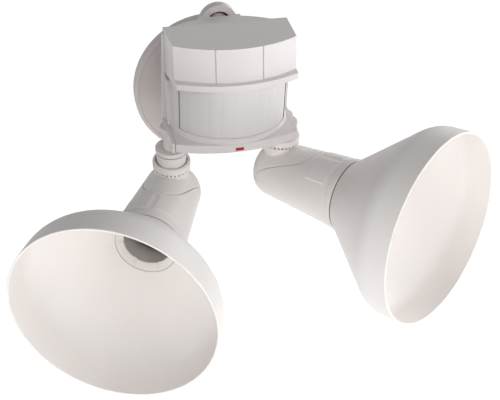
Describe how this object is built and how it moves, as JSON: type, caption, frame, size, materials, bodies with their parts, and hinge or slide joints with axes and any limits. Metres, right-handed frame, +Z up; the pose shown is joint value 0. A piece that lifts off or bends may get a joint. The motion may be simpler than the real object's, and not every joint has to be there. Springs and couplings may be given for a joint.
{
  "type": "motion sensor security light",
  "caption": "Wall-mounted outdoor light: round wall plate, ball-jointed motion sensor head, and a pair of swivelling lampholders with wide round shades.",
  "frame": {"origin": "centre of the wall plate where it meets the wall, midway between the box screws", "axes": "+Y into the wall, -Y the way the light faces, +Z up, +X to the right as seen from the front"},
  "size_m": [0.3623, 0.2473, 0.209],
  "materials": {
    "painted": "satin",
    "paint_lamp": "satin",
    "housing": "satin",
    "lens": "milky",
    "red_window": "gloss",
    "foam": "matt",
    "silicone": "matt",
    "nylon": "satin",
    "seat": "matt",
    "zinc": "satin",
    "brass": "satin",
    "phenolic": "matt",
    "board": "satin",
    "black": "satin",
    "core": "dull",
    "sensor_can": "satin",
    "cell": "matt"
  },
  "bodies": {
    "wall": {"wall_gasket": "foam", "wall_plate": "painted", "box_screws": "zinc", "swivel_arm": "painted", "arm_washer": "foam", "arm_locknut": "zinc"},
    "seat": {"ball_seat": "seat"},
    "head": {"ball_hoop": "painted", "base_cover": "housing", "board_posts": "black", "circuit_board": "board", "hood": "housing", "indicator_led": "red_window", "led_window": "red_window", "left_collar": "paint_lamp", "left_flange_nut": "paint_lamp", "left_stem": "paint_lamp", "lens": "lens", "photocell": "cell", "pyro_sensor": "sensor_can", "rear_housing": "housing", "relay": "black", "right_collar": "paint_lamp", "right_flange_nut": "paint_lamp", "right_stem": "paint_lamp", "sensor_frame": "housing", "transformer": "core"},
    "dial": {"range_dial": "housing"},
    "slide": {"time_slider": "housing"},
    "left_knuckle": {"left_toothed_cup": "paint_lamp", "left_clamp_screw": "zinc"},
    "left_lamp": {"left_holder_cap": "paint_lamp", "left_holder_body": "paint_lamp", "left_socket_insulator": "phenolic", "left_screw_shell": "brass", "left_centre_contact": "brass", "left_lamp_gasket": "silicone", "left_shade": "paint_lamp", "left_shade_ring": "nylon"},
    "right_knuckle": {"right_toothed_cup": "paint_lamp", "right_clamp_screw": "zinc"},
    "right_lamp": {"right_holder_cap": "paint_lamp", "right_holder_body": "paint_lamp", "right_socket_insulator": "phenolic", "right_screw_shell": "brass", "right_centre_contact": "brass", "right_lamp_gasket": "silicone", "right_shade": "paint_lamp", "right_shade_ring": "nylon"}
  },
  "joints": [
    {"name": "head_pan", "type": "hinge", "parent": "wall", "child": "seat", "pos_m": [0, -0.03368, 0.07082], "axis": [0, 0, 1], "range_deg": [-20, 20]},
    {"name": "head_tilt", "type": "hinge", "parent": "seat", "child": "head", "pos_m": [0, -0.03368, 0.07082], "axis": [1, 0, 0], "range_deg": [-25, 6]},
    {"name": "range_dial_turn", "type": "hinge", "parent": "head", "child": "dial", "pos_m": [-0.014, -0.092, 0.0016], "axis": [0, 0, 1], "range_deg": [-135, 135]},
    {"name": "time_slide", "type": "slide", "parent": "head", "child": "slide", "axis": [1, 0, 0], "range_m": [0, 0.008]},
    {"name": "left_lamp_tilt", "type": "hinge", "parent": "head", "child": "left_knuckle", "pos_m": [-0.0445, -0.0705, -0.0244], "axis": [-1, 0, 0], "range_deg": [-3.8, 10.2]},
    {"name": "left_lamp_pan", "type": "hinge", "parent": "left_knuckle", "child": "left_lamp", "pos_m": [-0.0445, -0.0705, -0.0244], "axis": [0, -0.0558, 0.9984], "range_deg": [-54.7, 10.3]},
    {"name": "right_lamp_tilt", "type": "hinge", "parent": "head", "child": "right_knuckle", "pos_m": [0.0445, -0.0705, -0.0119], "axis": [-1, 0, 0], "range_deg": [-10, 4]},
    {"name": "right_lamp_pan", "type": "hinge", "parent": "right_knuckle", "child": "right_lamp", "pos_m": [0.0445, -0.0705, -0.0119], "axis": [0, 0.0523, 0.9986], "range_deg": [-18.2, 46.8]}
  ]
}
